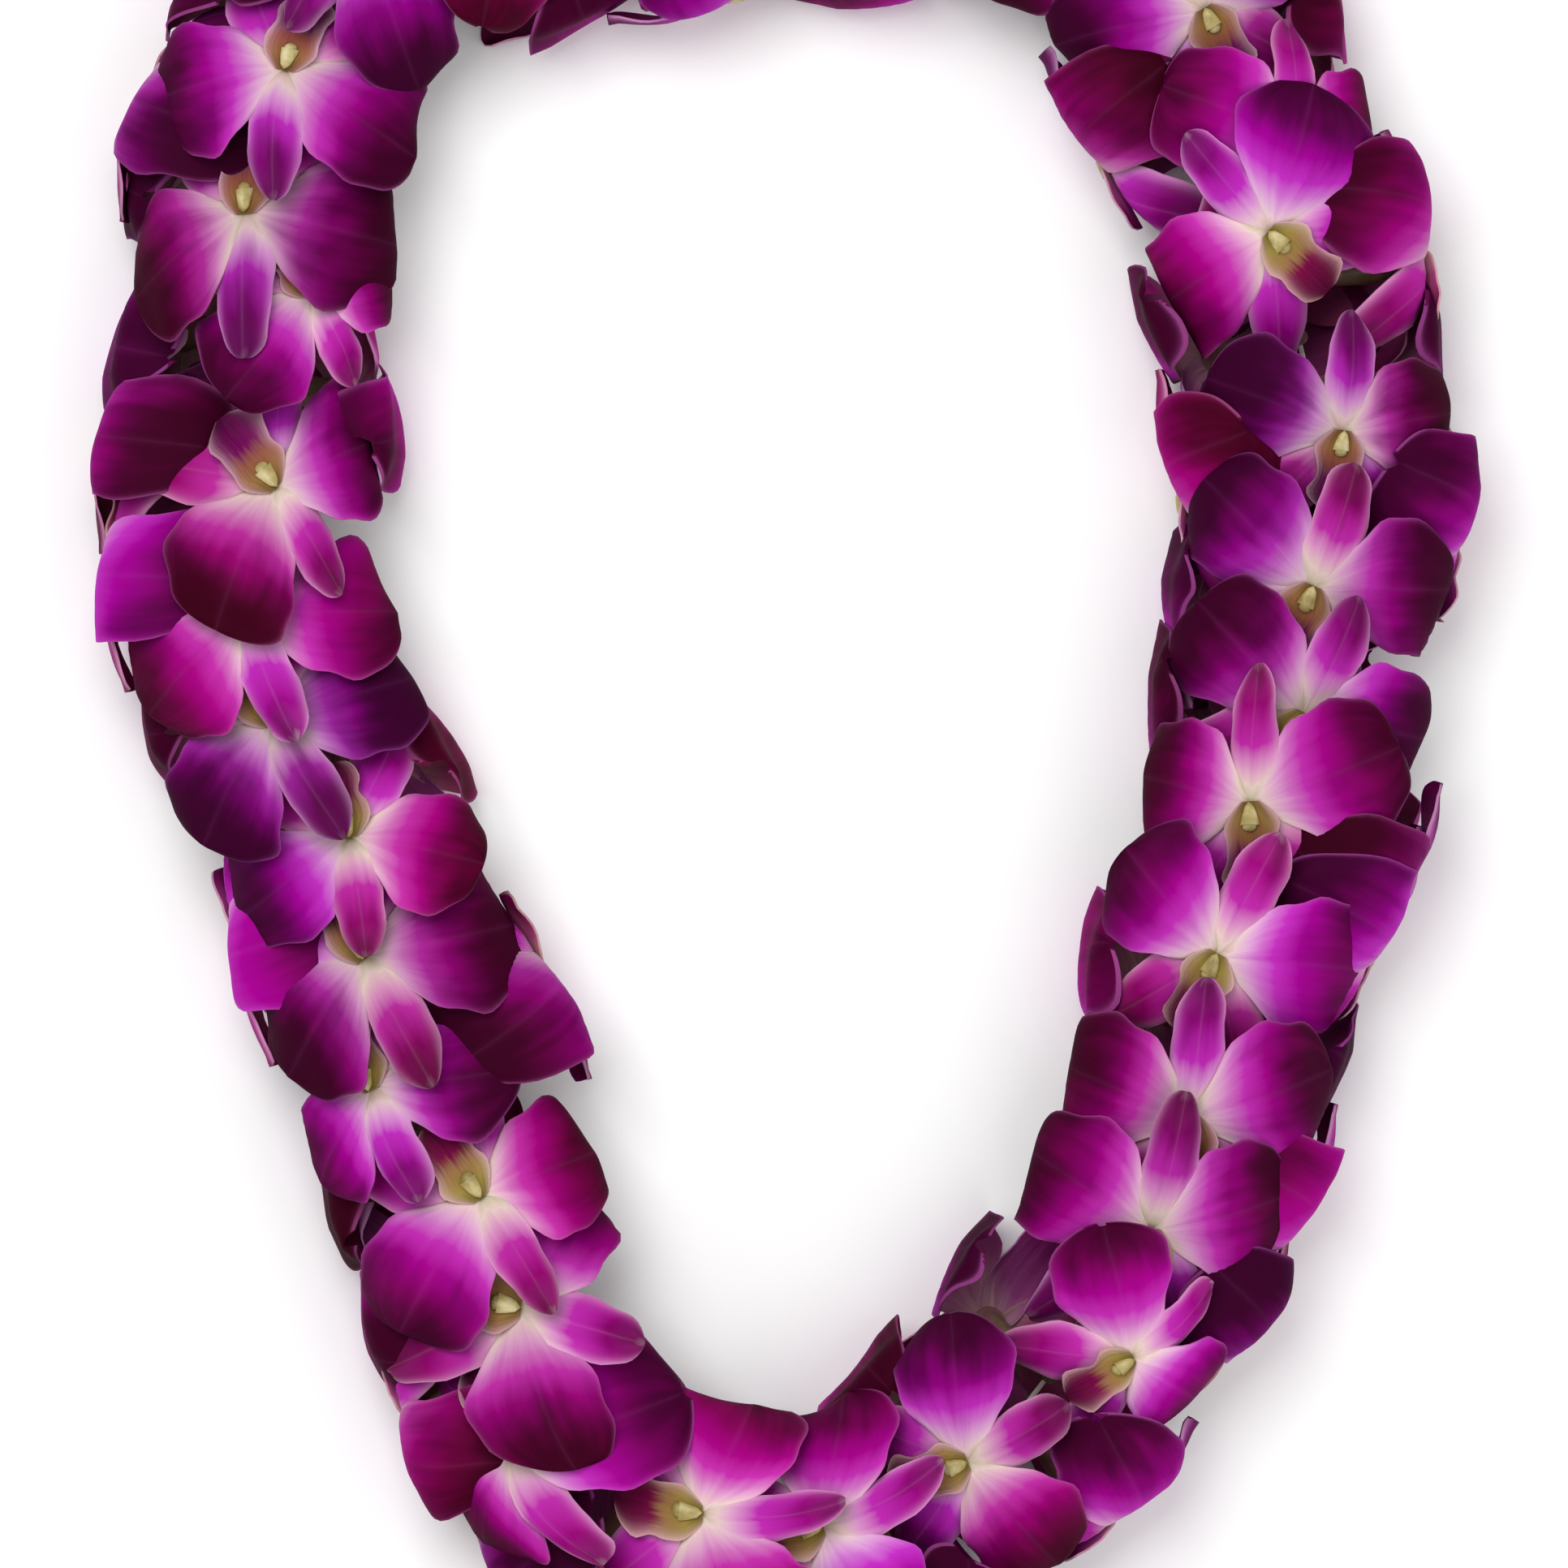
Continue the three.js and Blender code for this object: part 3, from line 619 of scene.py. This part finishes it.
def applyModifier(piece, kind, **settings):
    modifier = piece.modifiers.new(kind.title(), kind)
    for name, value in settings.items():
        setattr(modifier, name, value)
    bpy.context.view_layer.objects.active = piece
    bpy.ops.object.modifier_apply(modifier=modifier.name)


def storeNumbers(mesh, name, values):
    attribute = mesh.attributes.new(name, "FLOAT", "POINT")
    attribute.data.foreach_set("value", np.asarray(values, np.float32))


def readNumbers(mesh, name):
    values = np.zeros(len(mesh.vertices), np.float32)
    mesh.attributes[name].data.foreach_get("value", values)
    return values.astype(float)


def joinPieces(copies):
    deselectAll()
    for copy in copies:
        copy.select_set(True)
    bpy.context.view_layer.objects.active = copies[0]
    if len(copies) > 1:
        bpy.ops.object.join()
    return bpy.context.view_layer.objects.active


def makeTepal(form):
    # a grid whose rows are set to the outline, smoothed and given its thickness
    deselectAll()
    rows = form["rows"]
    bpy.ops.mesh.primitive_grid_add(
        x_subdivisions=form["columns"], y_subdivisions=len(rows) - 1, size=1)
    tepal = bpy.context.object
    tepal.name = form["name"]
    bpy.ops.object.mode_set(mode="EDIT")
    mesh = bmesh.from_edit_mesh(tepal.data)
    mesh.verts.ensure_lookup_table()
    rowOf = [int(round((vert.co.y + 0.5) * (len(rows) - 1))) for vert in mesh.verts]
    for i, (share, fullness) in enumerate(rows):
        selectVerts(mesh, lambda vert: rowOf[vert.index] == i)
        y = i / (len(rows) - 1) - 0.5
        bpy.ops.transform.resize(value=(form["width"] * fullness, 1, 1), center_override=(0, y, 0))
        bpy.ops.transform.translate(value=(0, share * form["length"] - y, 0))
    bpy.ops.object.mode_set(mode="OBJECT")
    applyModifier(tepal, "SUBSURF", levels=1, render_levels=1, boundary_smooth="ALL")
    uvs = tepal.data.uv_layers["UVMap"].data
    side = np.zeros(len(tepal.data.vertices))
    for loop in tepal.data.loops:
        y = tepal.data.vertices[loop.vertex_index].co.y
        side[loop.vertex_index] = 2 * uvs[loop.index].uv.x - 1
        uvs[loop.index].uv.y = y / form["length"]
    storeNumbers(tepal.data, "side", side)
    storeNumbers(tepal.data, "reach", [vert.co.y / form["length"] for vert in tepal.data.vertices])
    tepal.data.materials.append(form["face"])
    tepal.data.materials.append(tepalBack)
    applyModifier(
        tepal, "SOLIDIFY", thickness=tepalThickness, offset=0, material_offset=1, material_offset_rim=0)
    return tepal


def turnedCopy(source, angle, part):
    deselectAll()
    copy = source.copy()
    copy.data = source.data.copy()
    bpy.context.collection.objects.link(copy)
    copy.rotation_euler.z = -radians(angle)
    copy.select_set(True)
    bpy.context.view_layer.objects.active = copy
    bpy.ops.object.transform_apply(location=True, rotation=True, scale=True)
    storeNumbers(copy.data, "part", [part] * len(copy.data.vertices))
    return copy


column = {
    "sides": 16, "root": 1.1, "mouth": 2.3, "length": 5.6, "flatness": 0.72, "wall": 0.35, "hollow": 1.4,
    "ahead": -2.0, "lift": 2.4, "cap": 1.45, "capSides": 12, "capRings": 8,
    "capShape": (1, 0.8, 0.7), "capInside": 0.6, "capLift": 0.1,
}


def makeColumn():
    # a short hood over the throat that widens towards the lip, with the anther cap in its mouth
    deselectAll()
    bpy.ops.mesh.primitive_cone_add(
        vertices=column["sides"], radius1=column["mouth"], radius2=column["root"],
        depth=column["length"], rotation=(-pi / 2, 0, 0))
    hood = bpy.context.object
    bpy.ops.object.transform_apply(location=False, rotation=True, scale=False)
    bpy.ops.object.mode_set(mode="EDIT")
    mesh = bmesh.from_edit_mesh(hood.data)
    mesh.select_mode = {"FACE"}
    for face in mesh.faces:
        face.select = len(face.verts) > 4 and face.calc_center_median().y < 0
    bpy.ops.mesh.inset(thickness=column["wall"])
    bpy.ops.transform.translate(value=(0, column["hollow"], 0))
    bpy.ops.mesh.select_all(action="SELECT")
    bpy.ops.transform.resize(value=(1, 1, column["flatness"]), center_override=(0, 0, 0))
    bpy.ops.transform.translate(value=(0, column["ahead"], column["lift"]))
    bpy.ops.object.mode_set(mode="OBJECT")
    applyModifier(hood, "SUBSURF", levels=1, render_levels=1)
    deselectAll()
    bpy.ops.mesh.primitive_uv_sphere_add(
        segments=column["capSides"], ring_count=column["capRings"], radius=column["cap"])
    cap = bpy.context.object
    capAhead = column["ahead"] - column["length"] / 2 + column["capInside"]
    bpy.ops.object.mode_set(mode="EDIT")
    bpy.ops.transform.resize(value=column["capShape"], center_override=(0, 0, 0))
    bpy.ops.transform.translate(value=(0, capAhead, column["lift"] + column["capLift"]))
    bpy.ops.object.mode_set(mode="OBJECT")
    hood = joinPieces([hood, cap])
    hood.data.materials.append(columnFlesh)
    return hood


neck = {
    "sides": 12, "rings": 8, "topRadius": 3.6, "footRadius": 2.0, "sunk": -0.4, "chin": 1.4, "chinRate": 1.6,
}


def makeNeck():
    # the chin and the stem: a closed tube whose lift runs from 0 at the throat to -1 at the thread
    deselectAll()
    bpy.ops.mesh.primitive_cylinder_add(vertices=neck["sides"], radius=1, depth=1, location=(0, 0, -0.5))
    tube = bpy.context.object
    bpy.ops.object.transform_apply(location=True, rotation=False, scale=False)
    bpy.ops.object.mode_set(mode="EDIT")
    mesh = bmesh.from_edit_mesh(tube.data)
    mesh.select_mode = {"EDGE"}
    for edge in mesh.edges:
        edge.select = abs(edge.verts[0].co.z - edge.verts[1].co.z) > 0.5  # the upright ones
    bpy.ops.mesh.subdivide(number_cuts=neck["rings"] - 1)
    bpy.ops.object.mode_set(mode="OBJECT")
    tube.data.materials.append(neckFlesh)
    return tube


throat = {
    "sides": 20, "radius": 4.4, "wall": 0.4,
    "hollows": [(3, 0.5), (0.5, 0.9)],  # inside each radius, the middle is pressed in by a depth
}


def makeThroat():
    # a shallow funnel that closes the middle between the tepals' roots
    deselectAll()
    bpy.ops.mesh.primitive_circle_add(vertices=throat["sides"], radius=throat["radius"], fill_type="TRIFAN")
    funnel = bpy.context.object
    bpy.ops.object.mode_set(mode="EDIT")
    mesh = bmesh.from_edit_mesh(funnel.data)
    bpy.ops.mesh.select_all(action="SELECT")
    bpy.ops.mesh.subdivide(number_cuts=1)
    for radius, depth in throat["hollows"]:
        selectVerts(mesh, lambda vert: hypot(vert.co.x, vert.co.y) < radius)
        bpy.ops.transform.translate(value=(0, 0, -depth))
    bpy.ops.object.mode_set(mode="OBJECT")
    funnel.data.materials.append(neckFlesh)
    applyModifier(funnel, "SOLIDIFY", thickness=throat["wall"], offset=-1)
    return funnel


def finishSolid(piece, part):
    count = len(piece.data.vertices)
    for name, value in (("side", 0), ("reach", 0), ("part", part)):
        storeNumbers(piece.data, name, [value] * count)
    return piece


tepalSources = {form["name"]: makeTepal(form) for form in (petal, dorsalSepal, sideSepal, lip)}
bloomParts = []
for part, (form, angle) in enumerate(tepals):
    bloomParts.append(turnedCopy(tepalSources[form["name"]], angle, part))
bloomParts.append(finishSolid(makeColumn(), middlePart))
bloomParts.append(finishSolid(makeThroat(), middlePart))
bloomParts.append(finishSolid(makeNeck(), neckPart))
bloomSource = joinPieces(bloomParts)
bloomSource.name = bloomSource.data.name = "bloomSource"
for source in tepalSources.values():
    bpy.data.objects.remove(source)
triangles = sum(len(face.vertices) - 2 for face in bloomSource.data.polygons)
print("one bloom modelled:", triangles, "triangles")

flat = np.zeros(len(bloomSource.data.vertices) * 3, np.float32)
bloomSource.data.vertices.foreach_get("co", flat)
flat = flat.reshape(-1, 3).astype(float)
partOf, reachOf, sideOf = (readNumbers(bloomSource.data, name) for name in ("part", "reach", "side"))

# every bloom gets its own bends and waves, then goes to its place on the strand
shape = {  # lifts in millimetres
    "petalHump": 2.6, "petalDroop": 3.2, "petalCup": 1.8, "petalWave": 1.6, "petalMargin": 0.8,
    "sepalHump": 2.2, "sepalDroop": 0.9, "sepalCup": 1.6, "sepalWave": 0.8, "sepalMargin": 0.3,
    "lipRise": 1.4, "lipCup": -1.8, "lipWave": 0.5, "lipMargin": 0.4,
    "lowerSepals": 0.55, "spread": 0.7, "turn": 8, "twist": 1.2,
    "waveLeast": 0.6, "waveMore": 0.8, "waves": 1.6, "waveSlant": 2.2,
    "humpRate": 1.1, "droopFrom": 0.35, "droopSquare": 0.42, "cupRate": 2.5,
    "marginWaves": 1.3, "marginSides": 0.35, "fineWaves": 5.2, "fineShare": 0.5, "fineShift": 4,
    "bloomSeed": 9.7, "partSeed": 23.1, "drawSeed": 3.3,
}
resting = {  # how a petal lies on the table: its gap, and how many times its thickness is kept
    "gap": 0.1, "apart": 1.2, "middleTop": 4, "middleShare": 0.4,
}
tones = {"bloomShare": 0.7, "tepalShare": 0.3, "bloomSeed": 300, "tepalSeed": 400, "tepalStep": 5.3}


def bendTepals(bloom):
    # across, ahead and lift of one bloom's tepals, no two alike
    across, ahead, lift = flat.T.copy()
    for part, (form, angle) in enumerate(tepals):
        on = partOf == part
        seed = bloom["index"] * shape["bloomSeed"] + part * shape["partSeed"]
        draws = [stray(seed + k * shape["drawSeed"]) for k in range(8)]
        r, s = reachOf[on], sideOf[on]
        kind = form["kind"]
        wave = shape[kind + "Wave"] * (shape["waveLeast"] + shape["waveMore"] * abs(draws[0]))
        ripple = np.sin(2 * pi * (r * (shape["waves"] + draws[1]) + draws[2]) + shape["waveSlant"] * s)
        ripple = ripple * np.abs(s) ** 2 * np.minimum(1, 2 * r)
        if kind == "lip":
            rise = shape["lipRise"] * (1 + r)
        else:
            hump = shape[kind + "Hump"] * (1 + shape["spread"] * draws[3])
            if form is sideSepal:  # these stay under the lip
                hump *= shape["lowerSepals"]
            droop = shape[kind + "Droop"] * (1 + shape["spread"] * 2 * draws[4])
            fall = droop * np.maximum(0, r - shape["droopFrom"]) ** 2 / shape["droopSquare"]
            rise = hump * np.sin(pi * np.minimum(1, r * shape["humpRate"])) - fall
        cup = shape[kind + "Cup"] * (1 + shape["spread"] * draws[5])
        rise = rise - cup * s ** 2 * np.minimum(1, shape["cupRate"] * r)
        lift[on] += rise + wave * ripple + shape["twist"] * draws[6] * s * r
        # the margin wanders in and out, and the tepal leans a little to one side
        phase = shape["marginWaves"] * r + draws[2] + shape["marginSides"] * np.sign(s) + draws[0]
        fine = np.sin(shape["fineWaves"] * pi * phase + shape["fineShift"] * draws[1])
        outwards = shape[kind + "Margin"] * (0.5 + r) * (np.sin(2 * pi * phase) + shape["fineShare"] * fine)
        outwards *= np.abs(s) ** 4 * np.minimum(1, 3 * r)
        x = across[on] + outwards * np.sign(s) * cos(radians(-angle))
        y = ahead[on] + outwards * np.sign(s) * sin(radians(-angle))
        turn = radians(shape["turn"] * draws[7]) if kind != "lip" else 0
        across[on], ahead[on] = x * cos(turn) - y * sin(turn), x * sin(turn) + y * cos(turn)
    return across, ahead, lift


def sideShares(bloom):
    # a bloom that faces up is drawn in on either side, so that its round tips show from above
    if not bloom["facesUp"]:
        return 1, 1
    aside = bloom["scale"] * (flat[:, 0] * cos(bloom["spin"]) - flat[:, 1] * sin(bloom["spin"]))
    reach = layer["shownReach"]
    return min(1, (reach + bloom["around"]) / -aside.min()), min(1, (reach - bloom["around"]) / aside.max())


def placeBloom(bloom):
    bloom["shares"] = sideShares(bloom)
    across, ahead, lift = bendTepals(bloom)
    onNeck = partOf == neckPart
    points = np.zeros_like(flat)
    points[~onNeck] = placeOnLayer(bloom, across[~onNeck], ahead[~onNeck], lift[~onNeck])
    # the neck runs from a ring under the throat to a smaller one round the thread
    down = -flat[onNeck, 2]
    ringX, ringY = flat[onNeck, 0], flat[onNeck, 1]
    sunk = np.full(len(down), neck["sunk"])
    top = placeOnLayer(bloom, ringX * neck["topRadius"], ringY * neck["topRadius"], sunk)
    outwards = top - placeOnLayer(bloom, 0.0, 0.0, 0.0)
    outwards /= np.maximum(np.linalg.norm(outwards, axis=1), 1e-6)[:, None]
    foot = strandAt(bloom["footLength"])[0] + outwards * neck["footRadius"]
    swell = neck["chin"] * np.sin(pi * np.minimum(1, down * neck["chinRate"])) * np.maximum(0, -ringY)
    points[onNeck] = top * (1 - down)[:, None] + foot * down[:, None] + outwards * swell[:, None]
    points += origin
    # what would sink into the table lies on it, with its thickness kept
    inMiddle = np.maximum(0, resting["middleTop"] - flat[:, 2]) * resting["middleShare"]
    inner = np.where(partOf < middlePart, tepalThickness / 2 - flat[:, 2], inMiddle)
    points[:, 2] = np.maximum(points[:, 2], resting["gap"] + resting["apart"] * inner)
    return points * mm


def toneOf(bloom):
    # depth of colour: mostly the bloom's own, a little each tepal's
    own = tones["bloomShare"] * chance(bloom["index"] + tones["bloomSeed"])
    values = np.zeros(len(flat))
    for part in range(neckPart + 1):
        drawn = chance(bloom["index"] * tones["tepalStep"] + part + tones["tepalSeed"])
        values[partOf == part] = own + tones["tepalShare"] * drawn
    return values


creaseAngle = 60  # degrees between faces, past which an edge stays sharp
pieces = []
for number, members in enumerate(groups, 1):
    copies = []
    for bloom in members:
        copy = bloomSource.copy()
        copy.data = bloomSource.data.copy()
        bpy.context.collection.objects.link(copy)
        copy.data.vertices.foreach_set("co", placeBloom(bloom).astype(np.float32).ravel())
        storeNumbers(copy.data, "tone", toneOf(bloom))
        copy.data.update()
        copies.append(copy)
    piece = joinPieces(copies)
    piece.name = piece.data.name = f"orchids{number:02d}"
    bpy.ops.object.shade_smooth_by_angle(angle=radians(creaseAngle))
    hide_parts(f"blooms_{number:02d}")
    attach(piece, "root")
    pieces.append(piece)
bpy.data.objects.remove(bloomSource)
print("blooms placed:", len(pieces), "pieces,", sum(len(piece.data.vertices) for piece in pieces), "points")


# the thread and the knot keep their CAD shape, and get a cotton finish
cottonLook = {
    "roughness": 0.85, "sheen": 0.3, "fibreScale": 900, "fibreDetail": 5, "bump": 1, "bumpDistance": 0.0002,
    "fibres": [(0.3, (0.66, 0.62, 0.52)), (0.7, (0.88, 0.85, 0.78))],
}


def makeCotton(look):
    material, tree, shader = newMaterial("cotton", {
        "Roughness": look["roughness"], "Sheen Weight": look["sheen"],
    })
    fibres = noiseNode(tree, -700, 0, objectPlace(tree, -900, 0), look["fibreScale"], look["fibreDetail"])
    tree.links.new(rampNode(tree, -400, 100, fibres, look["fibres"]), shader.inputs["Base Color"])
    bumpShader(tree, shader, -300, -200, fibres, look["bump"], look["bumpDistance"])
    return material


cotton = makeCotton(cottonLook)
for name in ("thread", "knot"):
    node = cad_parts[name]
    node.data.materials.clear()
    node.data.materials.append(cotton)
print("thread and knot finished")

# floor, light and camera
studio = {
    "floorSize": 6, "floorCells": 8, "floorColor": (0.97, 0.97, 0.97), "floorRoughness": 0.9,
    "worldStrength": 0.5,
    "key": {"place": (-0.35, 0.45, 1.3), "size": 0.9, "power": 12.6},
    "fill": {"place": (0.7, -0.6, 1.1), "size": 1.4, "power": 7.2},
}
photo = {
    "pixels": 1932, "pixelsPerMm": 5.6, "middle": (0, -18.04), "height": 36, "distance": 1800, "sensor": 36,
}


def makeFloor():
    deselectAll()
    bpy.ops.mesh.primitive_grid_add(
        x_subdivisions=studio["floorCells"], y_subdivisions=studio["floorCells"], size=studio["floorSize"])
    ground = bpy.context.object
    ground.name = "studioFloor"
    surface = newMaterial("studioFloor", {
        "Base Color": (*studio["floorColor"], 1), "Roughness": studio["floorRoughness"],
    })[0]
    ground.data.materials.append(surface)


def makeLights():
    world = bpy.data.worlds.new("studioWorld")
    world.use_nodes = True
    background = world.node_tree.nodes["Background"]
    background.inputs["Color"].default_value = (1, 1, 1, 1)
    background.inputs["Strength"].default_value = studio["worldStrength"]
    bpy.context.scene.world = world
    for name in ("key", "fill"):
        light = studio[name]
        bpy.ops.object.light_add(type="AREA", location=light["place"])
        lamp = bpy.context.object
        lamp.name = name + "Light"
        lamp.data.energy = light["power"]
        lamp.data.size = light["size"]
        lamp.rotation_euler = (-Vector(light["place"])).to_track_quat("-Z", "Y").to_euler()


def makeCamera():
    # straight above the middle of the photo, with the photo's scale at the petals' height
    bpy.ops.object.camera_add(location=(
        (photo["middle"][0] + origin[0]) * mm, (photo["middle"][1] + origin[1]) * mm,
        (photo["height"] + photo["distance"]) * mm))
    camera = bpy.context.object
    camera.name = "photoCamera"
    camera.rotation_euler = (0, 0, 0)
    camera.data.sensor_width = photo["sensor"]
    camera.data.lens = photo["sensor"] * photo["distance"] / (photo["pixels"] / photo["pixelsPerMm"])
    camera.data.dof.use_dof = False
    bpy.context.scene.camera = camera


makeFloor()
makeLights()
makeCamera()
bpy.context.scene.view_settings.view_transform = "Standard"
print("studio set")
